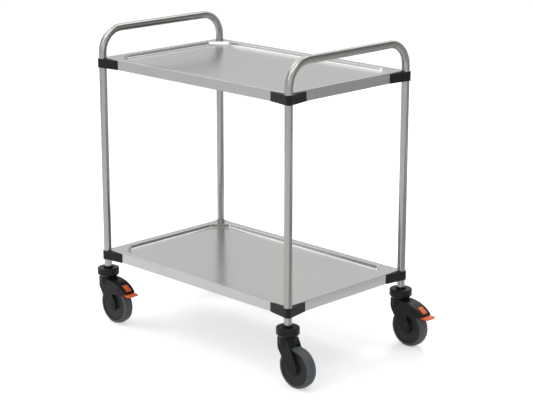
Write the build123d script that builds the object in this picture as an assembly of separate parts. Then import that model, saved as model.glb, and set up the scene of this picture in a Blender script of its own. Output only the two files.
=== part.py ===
from build123d import *
from math import acos, atan2, cos, hypot, radians, sin, sqrt
import os

# Two-shelf service cart: two bent tube end frames carry two pressed steel shelves, black corner
# bumpers cover the shelf joints, and four swivel casters, two with a foot brake, carry the cart.
# Millimetres, +Z up, X along the shelves. The casters trail towards +X, and the origin is on the
# floor under the middle of the whole outline, casters included.

# End frames: one tube each, bent to an inverted U
POST_SPACING_X = 820.0
POST_SPACING_Y = 508.0
TUBE_RADIUS = 12.5
TUBE_WALL = 1.5
BEND_RADIUS = 74.0
LEG_STUB = 24.0
SHELF_SPACING = 633.0
HANDLE_RISE = 87.0

# Shelves: one pressed sheet each, with a sunk deck, a flat rim and an apron folded in at its foot
SHEET = 1.0
APRON_DEPTH = 32.0
APRON_END = 20.0
RIM_WIDTH = 23.5
WELL_DEPTH = 9.5
WELL_DRAFT = 40.0
WELL_CORNER_LEG = 48.0
WELL_CORNER_RADIUS = 18.0
WELL_FLOOR_FILLET = 6.0
WELL_LIP_FILLET = 2.0
RIM_EDGE_FILLET = 1.8
RETURN_FLANGE = 12.0
RETURN_FLANGE_END = 44.0

# Corner joints: bumper, bracket, bolt and nut
BUMPER_ARM = 71.0
BUMPER_PROUD = 2.0
BUMPER_CORNER = 16.5
BUMPER_CORNER_RADIUS = 10.5
BUMPER_TOP_DROP = 3.5
BUMPER_TOP_FILLET = 1.2
BUMPER_WALL = 2.2
BUMPER_RIB = 2.0
POCKET_START = 22.0
POCKET_LENGTH = 13.0
POCKET_COUNT = 2
SADDLE_LEG = 36.0
BRACKET_SHEET = 2.0
BRACKET_FOOT = 20.0
BRACKET_HEIGHT = 22.0
BOLT_RADIUS = 3.0
BOLT_HEAD_RADIUS = 5.5
BOLT_HEAD_HEIGHT = 4.0
BOLT_REACH = 3.0
NUT_RADIUS = 5.0
NUT_DEPTH = 7.0

# Caster wheel, running on a plain bush
WHEEL_RADIUS = 62.5
WHEEL_WIDTH = 32.0
TYRE_THICKNESS = 10.0
TREAD_CROWN = 2.5
TYRE_SIDE_LEAN = 1.3
TREAD_EDGE_FILLET = 1.2
CORE_INSET = 1.5
CORE_DISH = 2.0
RIM_LIP = 3.0
HUB_RADIUS = 15.0
HUB_PROUD = 2.0
BUSH_WALL = 3.0
AXLE_RADIUS = 6.0
AXLE_RECESS = 1.0

# Caster fork, swivel head and stem
TRAIL = 41.0
FORK_ARM = 6.0
ARM_END_RADIUS = 20.5
ARM_END_LEAD = 2.0
ARM_EDGE_FILLET = 2.5
TREAD_GAP = 3.5
CROWN_HEIGHT = 22.5
CROWN_DROP = 19.5
CROWN_CORNER_RADIUS = 14.0
NECK_RADIUS = 28.0
NECK_HEIGHT = 3.5
NECK_GROOVE_DROP = 1.0
NECK_GROOVE_WIDTH = 1.5
NECK_GROOVE_DEPTH = 0.8
NECK_GROOVE_PITCH = 5.4
NECK_GROOVE_COUNT = 4
CROWN_REAR = 20.0
SWIVEL_HUB = 10.0
BEARING_RADIUS = 22.0
BEARING_BORE = 9.0
BEARING_HEIGHT = 8.0
BEARING_CHAMFER = 1.0
HEAD_RADIUS = 35.4
HEAD_FOOT_RADIUS = 28.5
HEAD_HEIGHT = 28.5
HEAD_CHAMFER_HEIGHT = 8.0
HEAD_TOP_FILLET = 4.0
BOSS_RADIUS = 16.0
BOSS_HEIGHT = 5.0
STEM_RADIUS = 6.0
COLLAR_RADIUS = 11.0
COLLAR_HEIGHT = 4.5
EXPANDER_LENGTH = 26.0
EXPANDER_SLIT = 2.0
STEM_TIP = 3.0

# Foot brake: a hood over the trailing side of the wheel and the pedal that rocks under it
HOOD_RADIUS = 130.0
HOOD_PLATE = 3.0
HOOD_ROOT = 10.0
HOOD_EDGE_FILLET = 2.0
HOOD_END_LIFT = 22.0
HOOD_END_ANGLE = 38.7
HOOD_END_HALF_WIDTH = 20.5
HOOD_END_FILLET = 2.5
CHEEK_FOOT = 35.0
CHEEK_KNEE = 30.0
CHEEK_RISE = 5.0
PIVOT_LIFT = 7.0
PIVOT_ANGLE = 57.5
PIVOT_RADIUS = 2.5
PEDAL_HUB_RADIUS = 5.0
PEDAL_SIDE_GAP = 1.0
PAD_GAP = 3.2
LIP_LENGTH = 20.0
LIP_ROOT = 10.0
LIP_THICKNESS = 5.0
LIP_HALF_WIDTH = 20.5
LIP_CORNER_RADIUS = 7.0
KEY_START = 1.0
KEY_LENGTH = 22.5
KEY_HALF_WIDTH = 10.0
KEY_PROUD = 1.0
KEY_GAP = 1.6

# Clearances
SEAT = 0.05
RUNNING = 0.05
FACE_GAP = 0.5
PEDAL_GAP = 0.8

# Heights and half sizes that follow from the values above
AXLE_HEIGHT = WHEEL_RADIUS
NECK_TOP = 2 * WHEEL_RADIUS + TREAD_GAP + CROWN_HEIGHT
CROWN_TOP = NECK_TOP - NECK_HEIGHT
HEAD_FOOT = NECK_TOP + FACE_GAP
HEAD_TOP = HEAD_FOOT + HEAD_HEIGHT
TUBE_FOOT = HEAD_TOP + BOSS_HEIGHT
LOWER_SHELF_TOP = TUBE_FOOT + LEG_STUB + APRON_DEPTH
UPPER_SHELF_TOP = LOWER_SHELF_TOP + SHELF_SPACING
HANDLE_HEIGHT = UPPER_SHELF_TOP + HANDLE_RISE
TUBE_BORE = TUBE_RADIUS - TUBE_WALL
BUMPER_HEIGHT = APRON_DEPTH - BUMPER_TOP_DROP
BOLT_DROP = BUMPER_TOP_DROP + BUMPER_HEIGHT / 2
BRACKET_REACH = SADDLE_LEG / sqrt(2)
HUB_HALF = WHEEL_WIDTH / 2 + HUB_PROUD
ARM_INNER = HUB_HALF + FACE_GAP
ARM_OUTER = ARM_INNER + FORK_ARM
BUSH_RADIUS = AXLE_RADIUS + RUNNING + BUSH_WALL

# Each corner: signs of its place along X and Y, and the turn from the first corner to it
CORNERS = {
    "front_left": (-1, -1, 0),
    "front_right": (1, -1, 90),
    "rear_right": (1, 1, 180),
    "rear_left": (-1, 1, 270),
}
BRAKED = ("front_left", "rear_right")
SHELVES = {"upper": UPPER_SHELF_TOP, "lower": LOWER_SHELF_TOP}


def polygon(*points):
    return make_face(Polyline(*points, close=True))


def span_box(left, right, foot, top):
    return Pos(left, foot) * Rectangle(right - left, top - foot, align=Align.MIN)


def turned(profile):
    """Solid of revolution about Z from a profile of radius and height."""
    return revolve(Plane.XZ * profile, Axis.Z)


def across(profile, half_width):
    """Side-view profile of X and Z, made into a solid that is even on both sides of Y = 0."""
    return extrude(Plane.XZ * profile, half_width, both=True)


def rod(radius, bottom, top):
    return Pos(0, 0, bottom) * extrude(Circle(radius), top - bottom)


def at_corner(shape, corner, height=0.0):
    """Carry a piece from the first corner, with the shelf towards +X and +Y, to another corner."""
    side_x, side_y, turn = CORNERS[corner]
    post = Pos(side_x * POST_SPACING_X / 2, side_y * POST_SPACING_Y / 2, height)
    return post * Rot(0, 0, turn) * shape


def at_caster(shape, corner):
    """Carry a caster piece, modelled round a swivel axis at the origin, to a leg."""
    side_x, side_y, _ = CORNERS[corner]
    return Pos(side_x * POST_SPACING_X / 2, side_y * POST_SPACING_Y / 2, 0) * shape


def along_bolt(shape):
    """Lay a piece turned about Z along the bolt: out from the tube axis, towards the shelf."""
    return Rot(0, 0, 45) * Rot(0, 90, 0) * shape


def end_frame(side):
    half = POST_SPACING_Y / 2
    path = FilletPolyline(
        (0, -half, TUBE_FOOT),
        (0, -half, HANDLE_HEIGHT),
        (0, half, HANDLE_HEIGHT),
        (0, half, TUBE_FOOT),
        radius=BEND_RADIUS,
    )
    section = Pos(0, -half, TUBE_FOOT) * (Circle(TUBE_RADIUS) - Circle(TUBE_BORE))
    frame = Pos(side * POST_SPACING_X / 2, 0, 0) * sweep(section, path)
    drill = along_bolt(rod(BOLT_RADIUS + SEAT, 0, TUBE_RADIUS + BUMPER_WALL))
    for corner, (side_x, _, _) in CORNERS.items():
        if side_x == side:
            for top in SHELVES.values():
                frame -= at_corner(drill, corner, top - BOLT_DROP)
    return frame


def tray_form(inset, foot):
    """Filled form of the pressed tray with every skin moved inwards by inset."""
    length = POST_SPACING_X - 2 * inset
    width = POST_SPACING_Y - 2 * inset
    block = Pos(0, 0, foot) * extrude(Rectangle(length, width), -inset - foot)
    block = fillet(block.faces().sort_by(Axis.Z)[-1].edges(), RIM_EDGE_FILLET - inset)
    well = Rectangle(POST_SPACING_X - 2 * RIM_WIDTH, POST_SPACING_Y - 2 * RIM_WIDTH)
    well = fillet(chamfer(well.vertices(), WELL_CORNER_LEG).vertices(), WELL_CORNER_RADIUS)
    draft = radians(WELL_DRAFT)
    well = Pos(0, 0, -inset) * offset(well, inset * (1 - sin(draft)) / cos(draft))
    block -= extrude(well, WELL_DEPTH, dir=(0, 0, -1), taper=WELL_DRAFT)
    deck = block.faces().filter_by(Axis.Z).sort_by(Axis.Z)[1]
    block = fillet(deck.edges(), WELL_FLOOR_FILLET + inset)
    rim = block.faces().filter_by(Axis.Z).sort_by(Axis.Z)[-1]
    return fillet(rim.inner_wires().edges(), WELL_LIP_FILLET - inset)


def shelf():
    """Pressed tray with its top at Z = 0 and a round notch for a tube at each corner."""
    tray = tray_form(0, -APRON_DEPTH) - tray_form(SHEET, -APRON_DEPTH - SHEET)
    hem_height = -APRON_DEPTH + SHEET / 2
    for side in (-1, 1):
        hem_y = side * (POST_SPACING_Y - RETURN_FLANGE) / 2
        hem_x = side * (POST_SPACING_X - RETURN_FLANGE) / 2
        long_hem = Box(POST_SPACING_X - 2 * RETURN_FLANGE_END, RETURN_FLANGE, SHEET)
        short_hem = Box(RETURN_FLANGE, POST_SPACING_Y - 2 * RETURN_FLANGE_END, SHEET)
        tray += Pos(0, hem_y, hem_height) * long_hem
        tray += Pos(hem_x, 0, hem_height) * short_hem
    gap_height = APRON_DEPTH - RIM_EDGE_FILLET
    apron_gap = Pos(0, 0, -RIM_EDGE_FILLET - gap_height / 2) * Box(2 * APRON_END, 2 * APRON_END, gap_height)
    notch = rod(TUBE_RADIUS + SEAT, -APRON_DEPTH, SHEET)
    for corner in CORNERS:
        tray -= at_corner(apron_gap + notch, corner)
    return tray


def bumper_pocket(start):
    """Core-out behind a bumper arm, open to the apron, with even walls all round."""
    slope = (BUMPER_CORNER - BUMPER_PROUD) / (BUMPER_ARM + BUMPER_CORNER)
    end = start + POCKET_LENGTH

    def face(place):
        return -(BUMPER_PROUD + slope * (BUMPER_ARM - place)) + BUMPER_WALL

    outline = polygon((start, 0), (end, 0), (end, face(end)), (start, face(start)))
    height = BUMPER_HEIGHT - 2 * BUMPER_WALL
    return Pos(0, 0, -APRON_DEPTH + BUMPER_WALL) * extrude(outline, height)


def bumper():
    """Corner bumper round the tube, its arms outside the aprons and its saddle inside them."""
    guard = polygon(
        (-BUMPER_CORNER, -BUMPER_CORNER),
        (BUMPER_ARM, -BUMPER_PROUD),
        (BUMPER_ARM, 0),
        (0, 0),
        (0, BUMPER_ARM),
        (-BUMPER_PROUD, BUMPER_ARM),
    )
    nose = guard.vertices().sort_by_distance((-BUMPER_CORNER, -BUMPER_CORNER))[0]
    guard = extrude(fillet(nose, BUMPER_CORNER_RADIUS), BUMPER_HEIGHT)
    top = guard.faces().sort_by(Axis.Z)[-1]
    outer = [e for e in top.edges() if e.center().X < -SEAT or e.center().Y < -SEAT]
    outer = [e for e in outer if max(e.center().X, e.center().Y) < BUMPER_ARM - SEAT]
    guard = fillet(outer, BUMPER_TOP_FILLET)
    saddle = polygon((0, 0), (SADDLE_LEG, 0), (0, SADDLE_LEG))
    slot_start = APRON_END - FACE_GAP
    slot_size = (SADDLE_LEG, SHEET + SEAT)
    saddle -= Pos(slot_start, 0) * Rectangle(*slot_size, align=Align.MIN)
    saddle -= Pos(0, slot_start) * Rectangle(*reversed(slot_size), align=Align.MIN)
    body = Pos(0, 0, -APRON_DEPTH) * (guard + extrude(saddle, BUMPER_HEIGHT))
    body -= rod(TUBE_RADIUS + SEAT, -APRON_DEPTH, 0)
    for index in range(POCKET_COUNT):
        pocket = bumper_pocket(POCKET_START + index * (POCKET_LENGTH + BUMPER_RIB))
        body -= pocket
        body -= mirror(pocket, Plane(origin=(0, 0, 0), z_dir=(1, -1, 0)))
    return body - Pos(0, 0, -BOLT_DROP) * along_bolt(rod(BOLT_RADIUS + SEAT, 0, SADDLE_LEG))


def corner_bracket():
    """Bent plate inside the apron corner: a foot on each apron and a web square to the bolt."""
    apron = SHEET + SEAT
    inner = apron + BRACKET_SHEET
    near = SADDLE_LEG + SEAT - apron
    far = near + BRACKET_SHEET * (sqrt(2) - 1)
    tip = near + BRACKET_FOOT
    outline = polygon(
        (apron, near), (near, apron), (tip, apron), (tip, inner),
        (far, inner), (inner, far), (inner, tip), (apron, tip),
    )
    plate = extrude(outline, BRACKET_HEIGHT / 2, both=True)
    return plate - along_bolt(rod(BOLT_RADIUS + SEAT, 0, SADDLE_LEG))


def frame_bolt():
    """Bolt from inside the shelf, through bracket, saddle and tube wall, into the nut."""
    seat = BRACKET_REACH + BRACKET_SHEET + SEAT
    shank = rod(BOLT_RADIUS, -BOLT_REACH, seat)
    head = Pos(0, 0, seat) * extrude(RegularPolygon(BOLT_HEAD_RADIUS, 6), BOLT_HEAD_HEIGHT)
    return along_bolt(shank + head)


def frame_nut():
    """Barrel nut inside the tube, its face rounded to the tube's bore."""
    nut = rod(NUT_RADIUS, TUBE_BORE - NUT_DEPTH, TUBE_BORE) - rod(BOLT_RADIUS + SEAT, 0, TUBE_BORE)
    bore = rod(TUBE_BORE - SEAT, -TUBE_BORE, TUBE_BORE)
    return along_bolt(nut) & bore


def axle_turned(profile):
    """Solid of revolution about the wheel's axle, from a profile of radius and place along it."""
    return Pos(TRAIL, 0, AXLE_HEIGHT) * Rot(90, 0, 0) * turned(profile)


def tyre():
    """Tyre ring: sides that lean in a little, and a crowned tread between two defined edges."""
    seat = WHEEL_RADIUS - TYRE_THICKNESS
    edge = WHEEL_RADIUS - TREAD_CROWN
    half = WHEEL_WIDTH / 2
    edge_half = half - TYRE_SIDE_LEAN
    sides = Polyline((edge, edge_half), (seat, half), (seat, -half), (edge, -edge_half))
    tread = ThreePointArc((edge, -edge_half), (WHEEL_RADIUS, 0), (edge, edge_half))
    section = make_face(sides + tread)
    edges = section.vertices().group_by(Axis.X)[-1]
    return axle_turned(fillet(edges, TREAD_EDGE_FILLET))


def wheel_core():
    """Moulded disc wheel: long hub, dished faces and a raised lip that the tyre sits on."""
    seat = WHEEL_RADIUS - TYRE_THICKNESS - SEAT
    face = WHEEL_WIDTH / 2 - CORE_INSET
    dish = face - CORE_DISH
    bore = BUSH_RADIUS + SEAT
    lip = seat - RIM_LIP
    dish_edge = lip - CORE_DISH
    outer = [
        (bore, HUB_HALF), (HUB_RADIUS, HUB_HALF), (HUB_RADIUS + CORE_DISH, dish),
        (dish_edge, dish), (lip, face), (seat, face),
    ]
    other = [(radius, -place) for radius, place in reversed(outer)]
    return axle_turned(polygon(*outer, *other))


def wheel_bush():
    return axle_turned(span_box(AXLE_RADIUS + RUNNING, BUSH_RADIUS, -HUB_HALF, HUB_HALF))


def axle():
    half = ARM_OUTER - AXLE_RECESS
    return axle_turned(span_box(0, AXLE_RADIUS, -half, half))


def around_axle(lift, angle):
    """Point in the caster's side view, lift above the tread at an angle from the trailing side."""
    reach = WHEEL_RADIUS + lift
    return TRAIL + reach * cos(radians(angle)), AXLE_HEIGHT + reach * sin(radians(angle))


HOOD_FRONT = Vector(CROWN_REAR, CROWN_TOP)
HOOD_END = Vector(*around_axle(HOOD_END_LIFT, HOOD_END_ANGLE))
PIVOT = around_axle(PIVOT_LIFT, PIVOT_ANGLE)
ARM_END = (TRAIL - ARM_END_LEAD, AXLE_HEIGHT)


def hood_centre():
    """Centre of the arc that the crown of the brake hood follows in side view."""
    span = HOOD_END - HOOD_FRONT
    drop = sqrt(HOOD_RADIUS**2 - (span.length / 2) ** 2)
    return HOOD_FRONT + span / 2 + Vector(span.Y, -span.X).normalized() * drop


def under_hood(depth):
    """Side-view disc whose rim lies at a depth below the crown of the brake hood."""
    return Pos(hood_centre().X, hood_centre().Y) * Circle(HOOD_RADIUS - depth)


def hood_end_underside():
    centre = hood_centre()
    return centre.Y + sqrt((HOOD_RADIUS - HOOD_PLATE) ** 2 - (HOOD_END.X - centre.X) ** 2)


LIP_TOP = hood_end_underside() - PEDAL_GAP
LIP_FOOT = LIP_TOP - LIP_THICKNESS
PEDAL_HALF = ARM_INNER - PEDAL_SIDE_GAP
PEDAL_TIP = HOOD_END.X + LIP_LENGTH
ORIGIN_SHIFT = (PEDAL_TIP - HEAD_RADIUS) / 2


def tread_disc(gap):
    return Pos(TRAIL, AXLE_HEIGHT) * Circle(WHEEL_RADIUS + gap)


def arm_tangent(point, turn):
    """Where a line from a point in the side view touches the round end of the arm."""
    across_x = point[0] - ARM_END[0]
    across_z = point[1] - ARM_END[1]
    angle = atan2(across_z, across_x) + turn * acos(ARM_END_RADIUS / hypot(across_x, across_z))
    return ARM_END[0] + ARM_END_RADIUS * cos(angle), ARM_END[1] + ARM_END_RADIUS * sin(angle)


def cheek_side():
    """Side view of the hood's cheeks, open at the top: level at first, then up to the hood's end."""
    foot = AXLE_HEIGHT + CHEEK_FOOT
    root = Vector(HOOD_ROOT, foot)
    knee = Vector(TRAIL + CHEEK_KNEE, foot + CHEEK_RISE)
    end = (HOOD_END.X, LIP_TOP + PEDAL_GAP)
    sweep_up = TangentArc(knee, end, tangent=knee - root)
    return make_face(sweep_up + Polyline(end, (HOOD_END.X, NECK_TOP), (HOOD_ROOT, NECK_TOP), root, knee))


def fork_side(braked):
    """Side view of the fork: crown and arm in one outline and, if braked, the hood behind them."""
    front = (-NECK_RADIUS, CROWN_TOP - CROWN_DROP)
    rear = (CROWN_REAR, CROWN_TOP)
    front_foot = arm_tangent(front, 1)
    rear_foot = arm_tangent(rear, -1)
    outline = Polyline(rear_foot, rear, (-NECK_RADIUS, CROWN_TOP), front, front_foot)
    arm_end = ThreePointArc(front_foot, (ARM_END[0], ARM_END[1] - ARM_END_RADIUS), rear_foot)
    side = make_face(outline + arm_end)
    if braked:
        side += cheek_side() & under_hood(0)
    return side


def fork_plan():
    """Top view of the fork: a round-cornered front, straight sides and the narrowing hood."""
    bend = TRAIL + ARM_END_RADIUS
    near_end = (HOOD_END.X, -HOOD_END_HALF_WIDTH)
    far_end = (HOOD_END.X, HOOD_END_HALF_WIDTH)
    front = Polyline((bend, -ARM_OUTER), (-NECK_RADIUS, -ARM_OUTER), (-NECK_RADIUS, ARM_OUTER), (bend, ARM_OUTER))
    near_side = TangentArc((bend, -ARM_OUTER), near_end, tangent=(1, 0))
    far_side = TangentArc((bend, ARM_OUTER), far_end, tangent=(1, 0))
    plan = make_face(front + near_side + far_side + Line(near_end, far_end))
    plan = fillet(plan.vertices().group_by(Axis.X)[0], CROWN_CORNER_RADIUS)
    return fillet(plan.vertices().group_by(Axis.X)[-1], HOOD_END_FILLET)


def fork_blank(braked):
    """Full-width fork body with softened side edges."""
    body = across(fork_side(braked), ARM_OUTER) & extrude(fork_plan(), NECK_TOP)
    sides = body.faces().filter_by(Axis.Y).group_by(Axis.Y)
    flat_start = CROWN_CORNER_RADIUS - NECK_RADIUS
    rims = [e for e in sides[0].edges() + sides[-1].edges() if e.center().X > flat_start + SEAT]
    if braked:
        knee = AXLE_HEIGHT + CHEEK_FOOT + CHEEK_RISE
        rims = [e for e in rims if e.center().Z < knee]
    body = fillet(rims, ARM_EDGE_FILLET)
    if braked:
        arcs = body.edges().filter_by(GeomType.CIRCLE)
        body = fillet([e for e in arcs if abs(e.radius - HOOD_RADIUS) < SEAT], HOOD_EDGE_FILLET)
    return body


def hood_openings():
    """Hollow under the hood, window for the pedal's key and hole for the pedal's pin."""
    hollow = under_hood(HOOD_PLATE) & span_box(NECK_RADIUS, PEDAL_TIP, AXLE_HEIGHT, NECK_TOP)
    key_start = PIVOT[0] + KEY_START - KEY_GAP
    window = span_box(key_start, key_start + KEY_LENGTH + 2 * KEY_GAP, LIP_TOP, NECK_TOP)
    pin_hole = Pos(*PIVOT) * Circle(PIVOT_RADIUS + SEAT)
    openings = across(hollow, ARM_INNER) + across(window, KEY_HALF_WIDTH + KEY_GAP)
    return openings + across(pin_hole, ARM_OUTER)


def fork_neck():
    """Round neck under the swivel head, with shallow grooves round it."""
    neck = span_box(0, NECK_RADIUS, CROWN_TOP - CROWN_DROP, NECK_TOP)
    for index in range(NECK_GROOVE_COUNT):
        top = NECK_TOP - NECK_GROOVE_DROP - index * NECK_GROOVE_PITCH
        neck -= span_box(NECK_RADIUS - NECK_GROOVE_DEPTH, NECK_RADIUS, top - NECK_GROOVE_WIDTH, top)
    return turned(neck)


def fork(braked):
    """Moulded caster fork: round neck, crown, two arms and, on a braked caster, the hood."""
    body = fork_blank(braked)
    if braked:
        body -= hood_openings()
    body -= across(tread_disc(TREAD_GAP), ARM_INNER)
    body += fork_neck()
    body -= rod(STEM_RADIUS + RUNNING, 0, NECK_TOP)
    body -= rod(COLLAR_RADIUS + FACE_GAP, 0, NECK_TOP - SWIVEL_HUB)
    return body - axle_turned(span_box(0, AXLE_RADIUS + SEAT, -ARM_OUTER, ARM_OUTER))


def swivel_bearing():
    section = span_box(BEARING_BORE, BEARING_RADIUS, NECK_TOP, NECK_TOP + BEARING_HEIGHT)
    return turned(chamfer(section.vertices(), BEARING_CHAMFER))


def swivel_head():
    """Round cap over the swivel bearing, with the boss that the tube stands on."""
    shoulder = HEAD_FOOT + HEAD_CHAMFER_HEIGHT
    section = polygon(
        (0, HEAD_FOOT), (HEAD_FOOT_RADIUS, HEAD_FOOT), (HEAD_RADIUS, shoulder), (HEAD_RADIUS, HEAD_TOP),
        (BOSS_RADIUS, HEAD_TOP), (BOSS_RADIUS, TUBE_FOOT), (0, TUBE_FOOT),
    )
    rim = section.vertices().sort_by_distance((HEAD_RADIUS, HEAD_TOP))[0]
    section = fillet(rim, HEAD_TOP_FILLET)
    bearing_top = NECK_TOP + BEARING_HEIGHT + SEAT
    section -= span_box(0, BEARING_RADIUS + FACE_GAP, HEAD_FOOT, bearing_top)
    section -= span_box(0, STEM_RADIUS + SEAT, HEAD_FOOT, TUBE_FOOT)
    return turned(section)


def stem():
    """Swivel pin: a collar under the fork's hub, and a shank up through the head into the tube."""
    collar_top = NECK_TOP - SWIVEL_HUB - SEAT
    tip = TUBE_FOOT + EXPANDER_LENGTH + STEM_TIP
    return rod(STEM_RADIUS, collar_top, tip) + rod(COLLAR_RADIUS, collar_top - COLLAR_HEIGHT, collar_top)


def expander():
    """Slit sleeve on the stem that grips the inside of the tube."""
    top = TUBE_FOOT + EXPANDER_LENGTH
    sleeve = rod(TUBE_BORE - SEAT, TUBE_FOOT, top) - rod(STEM_RADIUS + SEAT, TUBE_FOOT, top)
    slit_height = EXPANDER_LENGTH / 2
    slit = Pos(0, 0, top - slit_height / 2) * Box(2 * TUBE_RADIUS, EXPANDER_SLIT, slit_height)
    return sleeve - slit - Rot(0, 0, 90) * slit


def brake_pin():
    return across(Pos(*PIVOT) * Circle(PIVOT_RADIUS), HOOD_END_HALF_WIDTH)


def brake_pedal():
    """Foot pedal: hub on the pin, pad over the tread, key up through the hood, lip at the end."""
    key_start = PIVOT[0] + KEY_START
    key_end = key_start + KEY_LENGTH
    lever = span_box(PIVOT[0], HOOD_END.X - PEDAL_GAP, LIP_FOOT, NECK_TOP)
    lever &= under_hood(HOOD_PLATE + PEDAL_GAP)
    lever -= tread_disc(PAD_GAP)
    lever += Pos(*PIVOT) * Circle(PEDAL_HUB_RADIUS)
    key = span_box(key_start, key_end, LIP_TOP, NECK_TOP) & under_hood(-KEY_PROUD)
    pedal = across(lever, PEDAL_HALF) + across(key - tread_disc(PAD_GAP), KEY_HALF_WIDTH)
    plan = Pos(HOOD_END.X + PEDAL_GAP, 0) * Rectangle(
        LIP_LENGTH - PEDAL_GAP, 2 * LIP_HALF_WIDTH, align=(Align.MIN, Align.CENTER)
    )
    plan = fillet(plan.vertices().group_by(Axis.X)[-1], LIP_CORNER_RADIUS)
    plan += Pos(HOOD_END.X, 0) * Rectangle(LIP_ROOT, 2 * PEDAL_HALF)
    pedal += Pos(0, 0, LIP_FOOT) * extrude(plan, LIP_THICKNESS)
    return pedal - across(Pos(*PIVOT) * Circle(PIVOT_RADIUS + RUNNING), ARM_OUTER)


def group(shape, height):
    """The same piece at every corner of one shelf, as separate solids."""
    return Compound([at_corner(shape, corner, height) for corner in CORNERS])


def cart():
    pieces = {"end_frame_left": end_frame(-1), "end_frame_right": end_frame(1)}
    tray, guard = shelf(), bumper()
    bracket, bolt, nut = corner_bracket(), frame_bolt(), frame_nut()
    for level, top in SHELVES.items():
        pieces[f"{level}_shelf"] = Pos(0, 0, top) * tray
        pieces[f"{level}_corner_brackets"] = group(bracket, top - BOLT_DROP)
        pieces[f"{level}_frame_bolts"] = group(bolt, top - BOLT_DROP)
        pieces[f"{level}_frame_nuts"] = group(nut, top - BOLT_DROP)
        for corner in CORNERS:
            pieces[f"{level}_bumper_{corner}"] = at_corner(guard, corner, top)
    caster = {
        "swivel_head": swivel_head(),
        "stem": stem(),
        "expander": expander(),
        "swivel_bearing": swivel_bearing(),
        "axle": axle(),
        "wheel_bush": wheel_bush(),
        "wheel_core": wheel_core(),
        "tyre": tyre(),
    }
    plain_fork, braked_fork = fork(False), fork(True)
    pedal, pin = brake_pedal(), brake_pin()
    for corner in CORNERS:
        for name, piece in caster.items():
            pieces[f"{name}_{corner}"] = at_caster(piece, corner)
        braked = corner in BRAKED
        pieces[f"fork_{corner}"] = at_caster(braked_fork if braked else plain_fork, corner)
        if braked:
            pieces[f"brake_pedal_{corner}"] = at_caster(pedal, corner)
            pieces[f"brake_pin_{corner}"] = at_caster(pin, corner)
    return pieces


os.makedirs("parts", exist_ok=True)
for node, piece in cart().items():
    piece = Pos(-ORIGIN_SHIFT, 0, 0) * piece
    piece.label = node
    export_step(piece, f"parts/{node}.step")
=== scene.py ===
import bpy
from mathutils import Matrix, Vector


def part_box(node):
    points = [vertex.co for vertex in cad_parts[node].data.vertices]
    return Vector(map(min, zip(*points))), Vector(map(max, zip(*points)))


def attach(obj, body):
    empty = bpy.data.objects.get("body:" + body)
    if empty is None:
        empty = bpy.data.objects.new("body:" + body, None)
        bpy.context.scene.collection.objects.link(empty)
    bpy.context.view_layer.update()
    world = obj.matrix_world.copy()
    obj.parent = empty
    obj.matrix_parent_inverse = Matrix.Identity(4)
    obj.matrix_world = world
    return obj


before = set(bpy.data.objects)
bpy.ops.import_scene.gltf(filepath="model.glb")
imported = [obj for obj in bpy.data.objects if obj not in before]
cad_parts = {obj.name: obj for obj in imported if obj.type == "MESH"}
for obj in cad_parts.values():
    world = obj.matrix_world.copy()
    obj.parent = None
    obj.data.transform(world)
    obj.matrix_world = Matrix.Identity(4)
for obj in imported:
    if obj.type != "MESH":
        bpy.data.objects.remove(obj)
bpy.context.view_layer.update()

import bmesh
import bpy
from math import cos, pi, radians, sin
from mathutils import Vector


# End frames: each is one length of round stainless steel tube, bent cold to an inverted U.
# The tube is belt-polished after bending, which leaves a bright satin with fine lines round it.
TUBE_LIGHT = (0.350, 0.341, 0.330, 1.0)
TUBE_DARK = (0.310, 0.302, 0.292, 1.0)
TUBE_PATCH_SCALE = 14.0
TUBE_ROUGHNESS = (0.13, 0.19)
BELT_LINE_SCALE = 1400.0
BELT_LINE_DEPTH = 0.00004
BELT_LINE_STRENGTH = 0.25
FINE_DETAIL = 2.0


def new_finish(name, **even_values):
    """Node material whose even values sit on the shader's own sockets."""
    material = bpy.data.materials.new(name)
    material.use_nodes = True
    shader = material.node_tree.nodes["Principled BSDF"]
    for socket, value in even_values.items():
        shader.inputs[socket.replace("_", " ")].default_value = value
    return material, shader


def add_node(material, kind, links=(), **settings):
    """One node of a finish, with its inputs set from values or from other nodes' outputs."""
    node = material.node_tree.nodes.new(kind)
    for name, value in settings.items():
        setattr(node, name, value)
    for socket, value in links:
        if isinstance(value, bpy.types.NodeSocket):
            material.node_tree.links.new(value, node.inputs[socket])
        else:
            node.inputs[socket].default_value = value
    return node


def places(material):
    """Places on the piece in metres, which move with it."""
    return add_node(material, "ShaderNodeTexCoord").outputs["Object"]


def axes_of(material, vector):
    """The three parts of a place or a direction."""
    return add_node(material, "ShaderNodeSeparateXYZ", ((0, vector),)).outputs


def worked_out(material, operation, *values):
    """Result of one sum on plain values or on other nodes' outputs."""
    return add_node(material, "ShaderNodeMath", tuple(enumerate(values)), operation=operation).outputs[0]


def cloud(material, place, scale, detail=3.0):
    """Soft uneven patches, as a value from 0 to 1."""
    links = (("Vector", place), ("Scale", scale), ("Detail", detail))
    return add_node(material, "ShaderNodeTexNoise", links).outputs["Fac"]


def between(material, value, low, high, low_in=0.3, high_in=0.7):
    """A value spread over a range, such as a roughness."""
    links = ((0, value), (1, low_in), (2, high_in), (3, low), (4, high))
    return add_node(material, "ShaderNodeMapRange", links).outputs[0]


def two_tones(material, value, first, second):
    """Colour that wanders between two tones."""
    links = ((0, value), (6, first), (7, second))
    return add_node(material, "ShaderNodeMix", links, data_type="RGBA").outputs[2]


def relief(material, shader, height, depth, strength):
    """Fine surface relief from a height value."""
    links = (("Height", height), ("Distance", depth), ("Strength", strength))
    bump = add_node(material, "ShaderNodeBump", links)
    material.node_tree.links.new(bump.outputs["Normal"], shader.inputs["Normal"])


def feed(material, shader, **sources):
    """Link nodes' outputs to the shader's sockets."""
    for socket, source in sources.items():
        material.node_tree.links.new(source, shader.inputs[socket.replace("_", " ")])


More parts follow.
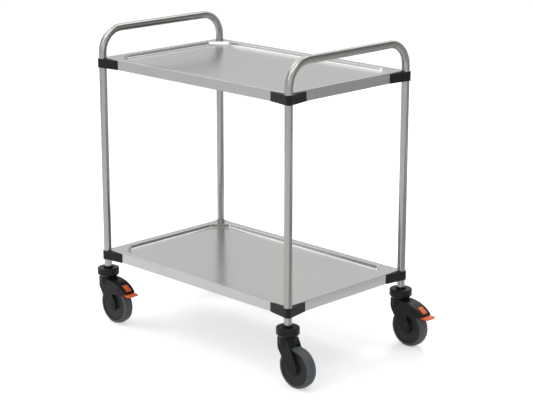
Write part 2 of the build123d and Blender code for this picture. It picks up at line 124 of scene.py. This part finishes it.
def dress(finish, *names):
    """Give a finish to CAD pieces, by name or by the start of their names."""
    for node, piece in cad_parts.items():
        if node.startswith(names):
            piece.material_slots[0].material = finish


tube_steel, shader = new_finish("polished_tube_steel", Metallic=1.0)
spot = places(tube_steel)
axes = axes_of(tube_steel, spot)
along = worked_out(tube_steel, "ADD", axes["Y"], axes["Z"])
ringwise = add_node(tube_steel, "ShaderNodeCombineXYZ", (("X", axes["X"]), ("Z", along))).outputs[0]
belt_lines = cloud(tube_steel, ringwise, BELT_LINE_SCALE, FINE_DETAIL)
patches = cloud(tube_steel, spot, TUBE_PATCH_SCALE)
feed(
    tube_steel, shader,
    Base_Color=two_tones(tube_steel, patches, TUBE_LIGHT, TUBE_DARK),
    Roughness=between(tube_steel, belt_lines, *TUBE_ROUGHNESS),
)
relief(tube_steel, shader, belt_lines, BELT_LINE_DEPTH, BELT_LINE_STRENGTH)
dress(tube_steel, "end_frame_")


# Shelves: each is one stainless sheet, pressed to a sunk deck with cut-off corners and a flat rim,
# and folded down to an apron with a hem. The grain of the brushed sheet runs along the cart.
SHEET_LIGHT = (0.445, 0.443, 0.435, 1.0)
SHEET_DARK = (0.420, 0.418, 0.411, 1.0)
SHEET_PATCH_SCALE = 7.0
SHEET_ROUGHNESS = (0.18, 0.26)
BRUSH_LINE_SCALE = 1100.0
BRUSH_LINE_STRETCH = 0.012
BRUSH_LINE_DEPTH = 0.00003
BRUSH_LINE_STRENGTH = 0.2
END_APRON_FACING = 0.7

shelf_sheet, shader = new_finish("brushed_shelf_sheet", Metallic=1.0)
spot = places(shelf_sheet)
axes = axes_of(shelf_sheet, spot)
facing = add_node(shelf_sheet, "ShaderNodeNewGeometry").outputs["True Normal"]
end_apron = worked_out(shelf_sheet, "ABSOLUTE", axes_of(shelf_sheet, facing)["X"])
other_face = worked_out(shelf_sheet, "LESS_THAN", end_apron, END_APRON_FACING)
drop = worked_out(shelf_sheet, "MULTIPLY", axes["Z"], other_face)
cross = worked_out(shelf_sheet, "ADD", axes["Y"], drop)
stretched = worked_out(shelf_sheet, "MULTIPLY", axes["X"], BRUSH_LINE_STRETCH)
grainwise = add_node(shelf_sheet, "ShaderNodeCombineXYZ", (("X", stretched), ("Y", cross))).outputs[0]
brush_lines = cloud(shelf_sheet, grainwise, BRUSH_LINE_SCALE, FINE_DETAIL)
patches = cloud(shelf_sheet, spot, SHEET_PATCH_SCALE)
feed(
    shelf_sheet, shader,
    Base_Color=two_tones(shelf_sheet, patches, SHEET_LIGHT, SHEET_DARK),
    Roughness=between(shelf_sheet, brush_lines, *SHEET_ROUGHNESS),
)
relief(shelf_sheet, shader, brush_lines, BRUSH_LINE_DEPTH, BRUSH_LINE_STRENGTH)
dress(shelf_sheet, "upper_shelf", "lower_shelf")


# Corner bumpers: moulded in black polypropylene with an eroded grain, pushed round each tube
# at the shelves and held by a bolt from inside the apron.
BUMPER_BLACK = (0.0080, 0.0080, 0.0084, 1.0)
BUMPER_GREY = (0.0120, 0.0120, 0.0124, 1.0)


def moulded_finish(name, tones, patch_scale, roughness, grain_scale, grain_depth, grain_strength, gloss):
    """Plastic with two tones in soft patches and a fine grain, which sets its roughness and relief."""
    finish, shader = new_finish(name, Specular_IOR_Level=gloss)
    spot = places(finish)
    grain = cloud(finish, spot, grain_scale, FINE_DETAIL)
    feed(
        finish, shader,
        Base_Color=two_tones(finish, cloud(finish, spot, patch_scale), *tones),
        Roughness=between(finish, grain, *roughness),
    )
    relief(finish, shader, grain, grain_depth, grain_strength)
    return finish


bumper_plastic = moulded_finish(
    "moulded_bumper_plastic", tones=(BUMPER_BLACK, BUMPER_GREY), patch_scale=30.0, roughness=(0.30, 0.44),
    grain_scale=1500.0, grain_depth=0.00008, grain_strength=0.5, gloss=0.17,
)
dress(bumper_plastic, "upper_bumper_", "lower_bumper_")


# Joint fittings inside the aprons: bent brackets, hexagon bolts and barrel nuts of zinc-plated
# steel. Each bolt draws its bumper and its shelf corner against the tube.
ZINC_LIGHT = (0.58, 0.59, 0.60, 1.0)
ZINC_DULL = (0.42, 0.43, 0.45, 1.0)
ZINC_ROUGHNESS = (0.28, 0.46)
SPANGLE_SCALE = 260.0
SPANGLE_DETAIL = 4.0
SPANGLE_DEPTH = 0.00005
SPANGLE_STRENGTH = 0.25

zinc_plate, shader = new_finish("bright_zinc_plate", Metallic=1.0)
spangle = cloud(zinc_plate, places(zinc_plate), SPANGLE_SCALE, SPANGLE_DETAIL)
feed(
    zinc_plate, shader,
    Base_Color=two_tones(zinc_plate, spangle, ZINC_LIGHT, ZINC_DULL),
    Roughness=between(zinc_plate, spangle, *ZINC_ROUGHNESS),
)
relief(zinc_plate, shader, spangle, SPANGLE_DEPTH, SPANGLE_STRENGTH)
for level in ("upper", "lower"):
    dress(zinc_plate, f"{level}_corner_brackets", f"{level}_frame_bolts", f"{level}_frame_nuts")


# Caster heads and forks: moulded in black glass-filled nylon with a satin surface. The head stands
# under the tube on its stem, and the fork turns below it on a ball bearing.
CASTER_BLACK = (0.0064, 0.0064, 0.0067, 1.0)
CASTER_GREY = (0.0095, 0.0095, 0.0099, 1.0)

caster_plastic = moulded_finish(
    "satin_caster_plastic", tones=(CASTER_BLACK, CASTER_GREY), patch_scale=40.0, roughness=(0.33, 0.46),
    grain_scale=900.0, grain_depth=0.00006, grain_strength=0.35, gloss=0.17,
)
dress(caster_plastic, "swivel_head_", "fork_")
dress(zinc_plate, "stem_", "swivel_bearing_")


# Expanders and wheel bushes: turned from grey nylon. An expander grips the inside of the tube
# round the stem, and a bush runs on the axle inside the wheel.
NYLON_LIGHT = (0.36, 0.36, 0.35, 1.0)
NYLON_DARK = (0.30, 0.30, 0.295, 1.0)
NYLON_GLOSS = 0.4
NYLON_ROUGHNESS = (0.40, 0.55)
TOOL_MARK_SCALE = 700.0
TOOL_MARK_DEPTH = 0.00005
TOOL_MARK_STRENGTH = 0.3

grey_nylon, shader = new_finish("turned_grey_nylon", Specular_IOR_Level=NYLON_GLOSS)
tool_marks = cloud(grey_nylon, places(grey_nylon), TOOL_MARK_SCALE, FINE_DETAIL)
feed(
    grey_nylon, shader,
    Base_Color=two_tones(grey_nylon, tool_marks, NYLON_LIGHT, NYLON_DARK),
    Roughness=between(grey_nylon, tool_marks, *NYLON_ROUGHNESS),
)
relief(grey_nylon, shader, tool_marks, TOOL_MARK_DEPTH, TOOL_MARK_STRENGTH)
dress(grey_nylon, "expander_", "wheel_bush_")


# Wheels: a moulded black nylon disc with a long hub, and a tyre of blue-grey elastic rubber that is
# cast round its rim, with a crowned tread between two crisp edges.
CORE_BLACK = (0.016, 0.016, 0.017, 1.0)
CORE_GREY = (0.022, 0.022, 0.023, 1.0)
TYRE_SLATE = (0.074, 0.087, 0.096, 1.0)
TYRE_WORN = (0.095, 0.108, 0.117, 1.0)
TYRE_GLOSS = 0.28
TYRE_ROUGHNESS = (0.50, 0.66)
SCUFF_SCALE = 55.0
SCUFF_DETAIL = 5.0
TYRE_GRAIN_SCALE = 1200.0
TYRE_GRAIN_DEPTH = 0.00006
TYRE_GRAIN_STRENGTH = 0.4

core_plastic = moulded_finish(
    "moulded_wheel_plastic", tones=(CORE_BLACK, CORE_GREY), patch_scale=45.0, roughness=(0.42, 0.56),
    grain_scale=800.0, grain_depth=0.00006, grain_strength=0.35, gloss=0.25,
)
dress(core_plastic, "wheel_core_")

tyre_rubber, shader = new_finish("cast_tyre_rubber", Specular_IOR_Level=TYRE_GLOSS)
spot = places(tyre_rubber)
scuffs = cloud(tyre_rubber, spot, SCUFF_SCALE, SCUFF_DETAIL)
feed(
    tyre_rubber, shader,
    Base_Color=two_tones(tyre_rubber, scuffs, TYRE_SLATE, TYRE_WORN),
    Roughness=between(tyre_rubber, scuffs, *TYRE_ROUGHNESS),
)
tyre_grain = cloud(tyre_rubber, spot, TYRE_GRAIN_SCALE)
relief(tyre_rubber, shader, tyre_grain, TYRE_GRAIN_DEPTH, TYRE_GRAIN_STRENGTH)
dress(tyre_rubber, "tyre_")
dress(zinc_plate, "axle_")


# Axle caps: black moulded plugs pressed over both ends of each axle, a domed disc with a raised
# rim and a short spigot that fills the hole in the fork arm.
CAP_RADIUS = 0.0085
CAP_RIM_HEIGHT = 0.0012
CAP_EDGE = 0.0007
CAP_EDGE_MIDDLE = 0.00021
CAP_DISH = 0.0006
DOME_RADIUS = 0.0034
DOME_DISH = 0.00024
CENTRE_DISH = 0.00012
SPIGOT_RADIUS = 0.0058
ARM_FACE_ABOVE_AXLE_END = 0.001
TURNED_STEPS = 48
MERGE_DISTANCE = 1e-6
CREASE_ANGLE = radians(40)


def turned_piece(name, profile, place, outward):
    """Round piece about a line along Y, from pairs of radius and height towards its outer side."""
    shell = bmesh.new()
    points = [shell.verts.new((radius, outward * height, 0.0)) for radius, height in profile]
    edges = [shell.edges.new(pair) for pair in zip(points, points[1:])]
    bmesh.ops.spin(
        shell, geom=points + edges, axis=(0.0, 1.0, 0.0), cent=(0.0, 0.0, 0.0),
        angle=2 * pi, steps=TURNED_STEPS,
    )
    bmesh.ops.remove_doubles(shell, verts=shell.verts, dist=MERGE_DISTANCE)
    bmesh.ops.recalc_face_normals(shell, faces=shell.faces)
    for face in shell.faces:
        face.smooth = True
    mesh = bpy.data.meshes.new(name)
    shell.to_mesh(mesh)
    shell.free()
    mesh.set_sharp_from_angle(angle=CREASE_ANGLE)
    piece = bpy.data.objects.new(name, mesh)
    piece.location = place
    bpy.context.scene.collection.objects.link(piece)
    return piece


axle_cap_profile = (
    (0.0, -ARM_FACE_ABOVE_AXLE_END),
    (SPIGOT_RADIUS, -ARM_FACE_ABOVE_AXLE_END),
    (SPIGOT_RADIUS, 0.0),
    (CAP_RADIUS, 0.0),
    (CAP_RADIUS, CAP_RIM_HEIGHT - CAP_EDGE),
    (CAP_RADIUS - CAP_EDGE_MIDDLE, CAP_RIM_HEIGHT - CAP_EDGE_MIDDLE),
    (CAP_RADIUS - CAP_EDGE, CAP_RIM_HEIGHT),
    (CAP_RADIUS - 2 * CAP_EDGE, CAP_RIM_HEIGHT),
    (CAP_RADIUS - 3 * CAP_EDGE, CAP_RIM_HEIGHT - CAP_DISH),
    (DOME_RADIUS, CAP_RIM_HEIGHT - DOME_DISH),
    (0.0, CAP_RIM_HEIGHT - CENTRE_DISH),
)
for corner in ("front_left", "front_right", "rear_right", "rear_left"):
    low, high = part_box(f"axle_{corner}")
    for side, outward, end in (("near", -1, low[1]), ("far", 1, high[1])):
        place = ((low[0] + high[0]) / 2, end + outward * ARM_FACE_ABOVE_AXLE_END, (low[2] + high[2]) / 2)
        cap = turned_piece(f"axle_cap_{corner}_{side}", axle_cap_profile, place, outward)
        cap.data.materials.append(caster_plastic)
        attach(cap, f"caster_{corner}")


# Foot brakes: an orange nylon pedal under the hood of two forks, its key showing through a window
# in the hood. It rocks on a plated pin that goes through the hood's cheeks.
PEDAL_ORANGE = (0.90, 0.160, 0.034, 1.0)
PEDAL_DEEP = (0.82, 0.132, 0.026, 1.0)

pedal_plastic = moulded_finish(
    "orange_pedal_plastic", tones=(PEDAL_ORANGE, PEDAL_DEEP), patch_scale=60.0, roughness=(0.36, 0.48),
    grain_scale=900.0, grain_depth=0.00006, grain_strength=0.35, gloss=0.35,
)
dress(pedal_plastic, "brake_pedal_")
dress(zinc_plate, "brake_pin_")


# Studio: a pale floor, a white surround and soft lamps. Grey boards and glowing softboxes stand round
# the cart, lie on the floor and hang high above it. They show only in gloss: the bright metal mirrors
# them, and they neither light dull surfaces nor come into the picture.
WHITE = (1.0, 1.0, 1.0, 1.0)
BLACK = (0.0, 0.0, 0.0, 1.0)
FLOOR_HALF = 30.0
FLOOR_PALE = (0.90, 0.90, 0.90, 1.0)
FLOOR_ROUGHNESS = 0.9
FLOOR_LIFT = 0.46
FAR_FLOOR_LIFT = 0.55
LIFT_STARTS = 4.0
LIFT_ENDS = 9.0
SURROUND_FILL = 0.55
RIGHT_BOARD_ENDS = ((3.8, 0.4), (0.6, 3.8))
RIGHT_MIDDLE_HEIGHT = 2.2
RIGHT_TOP_HEIGHT = 5.4
RIGHT_FOOT_GREY = 0.55
RIGHT_MIDDLE_GREY = 0.5
RIGHT_TOP_GREY = 0.3
BACK_GREY = 0.63
FRONT_GLOW = 1.45
LEFT_GREY = 0.72
LEFT_BAND_GLOW = 3.2
REAR_BAND_GLOW = 2.4
FLOOR_BOARD_HEIGHT = 0.002
RIGHT_FLOOR_GREY = 0.62
LEFT_FLOOR_GREY = 0.96
OVERHEAD_HEIGHT = 40.0
OVERHEAD_GLOW = 2.6
MIDDLE_GLOW = 1.6
LAMP_TARGET = (0.0, 0.0, 0.5)


def is_seen(owner):
    """1 for what the eye sees straight, in metal or through glass, and 0 for light that falls."""
    path = add_node(owner, "ShaderNodeLightPath").outputs
    seen = path["Is Camera Ray"]
    for ray in ("Is Glossy Ray", "Is Transmission Ray"):
        seen = worked_out(owner, "MAXIMUM", seen, path[ray])
    return seen


def stage_sheet(name, corners, material):
    """Flat sheet of the studio, which isn't part of the cart."""
    mesh = bpy.data.meshes.new(name)
    mesh.from_pydata(corners, [], [tuple(range(len(corners)))])
    mesh.materials.append(material)
    board = bpy.data.objects.new(name, mesh)
    bpy.context.scene.collection.objects.link(board)
    return board


def lying_corners(low_x, high_x, low_y, high_y, height):
    """Corners of an oblong that lies level."""
    return [
        (low_x, low_y, height), (high_x, low_y, height), (high_x, high_y, height), (low_x, high_y, height)
    ]


floor_paint, shader = new_finish(
    "pale_floor", Base_Color=FLOOR_PALE, Roughness=FLOOR_ROUGHNESS,
    Specular_IOR_Level=0.0, Emission_Color=WHITE,
)
from_cart = add_node(floor_paint, "ShaderNodeVectorMath", ((0, places(floor_paint)),), operation="LENGTH")
lift_there = between(
    floor_paint, from_cart.outputs["Value"], FLOOR_LIFT, FAR_FLOOR_LIFT, LIFT_STARTS, LIFT_ENDS
)
feed(
    floor_paint, shader,
    Emission_Strength=worked_out(floor_paint, "MULTIPLY", is_seen(floor_paint), lift_there),
)
stage_sheet("floor", lying_corners(-FLOOR_HALF, FLOOR_HALF, -FLOOR_HALF, FLOOR_HALF, 0.0), floor_paint)

world = bpy.data.worlds.new("white_surround")
world.use_nodes = True
bpy.context.scene.world = world
background = world.node_tree.nodes["Background"]
background.inputs["Color"].default_value = WHITE
feed(world, background, Strength=between(world, is_seen(world), SURROUND_FILL, 1.0, 0.0, 1.0))


def gloss_board(name, corners, foot_grey, top_grey, shade_height=1.0):
    """Self-lit board that shows only in gloss, shaded from the floor upwards."""
    paint, shader = new_finish(
        f"{name}_paint", Base_Color=BLACK, Specular_IOR_Level=0.0, Emission_Color=WHITE
    )
    height = axes_of(paint, places(paint))["Z"]
    feed(paint, shader, Emission_Strength=between(paint, height, foot_grey, top_grey, 0.0, shade_height))
    board = stage_sheet(name, corners, paint)
    board.visible_camera = False
    board.visible_diffuse = False
    board.visible_shadow = False


def standing_corners(ends, foot, top):
    """Corners of an oblong that stands upright between two places on the floor plan."""
    start, end = ends
    return [(*start, foot), (*end, foot), (*end, top), (*start, top)]


gloss_board(
    "right_low_flat", standing_corners(RIGHT_BOARD_ENDS, 0.0, RIGHT_MIDDLE_HEIGHT),
    RIGHT_FOOT_GREY, RIGHT_MIDDLE_GREY, RIGHT_MIDDLE_HEIGHT,
)
gloss_board(
    "right_high_flat", standing_corners(RIGHT_BOARD_ENDS, RIGHT_MIDDLE_HEIGHT, RIGHT_TOP_HEIGHT),
    RIGHT_TOP_GREY, RIGHT_TOP_GREY,
)
for name, ends, foot, top, grey in (
    ("back_flat", ((-16.0, 5.2), (-5.2, 16.0)), 0.0, 4.1, BACK_GREY),
    ("front_flat", ((8.5, -2.5), (2.5, -8.5)), 1.0, 3.5, FRONT_GLOW),
    ("left_flat", ((-3.9, -0.9), (-2.4, -3.2)), 1.5, 5.2, LEFT_GREY),
    ("left_band", ((-7.5, -2.7), (-7.3, 3.4)), 4.0, 8.0, LEFT_BAND_GLOW),
    ("rear_band", ((-4.0, 6.9), (-1.2, 7.9)), 4.4, 8.0, REAR_BAND_GLOW),
):
    gloss_board(name, standing_corners(ends, foot, top), grey, grey)
for name, outline, grey in (
    ("right_floor", ((0.83, -0.6), (3.8, -0.9), (0.6, 3.8), (0.0, 1.48), (0.83, 0.73)), RIGHT_FLOOR_GREY),
    ("left_floor", ((-6.0, -6.0), (-1.2, -6.0), (-1.2, -2.0), (-6.0, -2.0)), LEFT_FLOOR_GREY),
):
    gloss_board(name, [(*corner, FLOOR_BOARD_HEIGHT) for corner in outline], grey, grey)
for side, low_x, high_x, low_y, high_y, glow in (
    ("left", -43.0, -23.0, -37.0, 37.0, OVERHEAD_GLOW),
    ("right", 23.0, 37.0, -37.0, 37.0, OVERHEAD_GLOW),
    ("rear", -23.0, 23.0, 23.0, 37.0, OVERHEAD_GLOW),
    ("front", -23.0, -1.0, -37.0, -23.0, OVERHEAD_GLOW),
    ("front_corner", -1.0, 23.0, -37.0, 1.0, OVERHEAD_GLOW),
    ("middle_left", -23.0, -1.0, -23.0, 23.0, MIDDLE_GLOW),
    ("middle_rear", -1.0, 23.0, 1.0, 23.0, MIDDLE_GLOW),
):
    gloss_board(
        f"overhead_{side}", lying_corners(low_x, high_x, low_y, high_y, OVERHEAD_HEIGHT), glow, glow
    )


def soft_lamp(name, place, size, watts, shows_in_gloss=False):
    """Square or oblong lamp that points at the cart and stays out of the picture."""
    lamp = bpy.data.lights.new(name, "AREA")
    lamp.shape = "RECTANGLE"
    lamp.size, lamp.size_y = size
    lamp.energy = watts
    holder = bpy.data.objects.new(name, lamp)
    holder.location = place
    holder.rotation_euler = (Vector(LAMP_TARGET) - Vector(place)).to_track_quat("-Z", "Y").to_euler()
    holder.visible_camera = False
    holder.visible_glossy = shows_in_gloss
    bpy.context.scene.collection.objects.link(holder)


soft_lamp("left_soft_lamp", place=(-3.5, -1.3, 3.9), size=(2.6, 2.6), watts=54.0)
soft_lamp("top_soft_lamp", place=(0.3, 0.2, 4.4), size=(2.4, 2.4), watts=22.0)
soft_lamp("front_soft_lamp", place=(0.6, -5.0, 4.0), size=(3.0, 2.4), watts=34.0, shows_in_gloss=True)
soft_lamp("back_soft_lamp", place=(-1.5, 3.2, 3.5), size=(1.8, 1.2), watts=60.0)


# Camera: stands in front of the right-hand corner and looks down on the cart a little.
# Its lens is long, so that the cart's upright lines stay nearly parallel.
CAMERA_PLACE = (3.518615, -3.50039, 1.79276)
CAMERA_YAW = radians(134.970)
CAMERA_PITCH = radians(15.195)
FOCAL_PIXELS = 1635.27
PICTURE_WIDTH = 533.0
SENSOR_WIDTH = 36.0

camera_data = bpy.data.cameras.new("camera")
camera_data.sensor_fit = "HORIZONTAL"
camera_data.sensor_width = SENSOR_WIDTH
camera_data.lens = SENSOR_WIDTH * FOCAL_PIXELS / PICTURE_WIDTH
camera = bpy.data.objects.new("camera", camera_data)
camera.location = CAMERA_PLACE
sight = Vector((
    cos(CAMERA_PITCH) * cos(CAMERA_YAW),
    cos(CAMERA_PITCH) * sin(CAMERA_YAW),
    -sin(CAMERA_PITCH),
))
camera.rotation_euler = sight.to_track_quat("-Z", "Y").to_euler()
bpy.context.scene.collection.objects.link(camera)
bpy.context.scene.camera = camera
bpy.context.scene.view_settings.view_transform = "Standard"
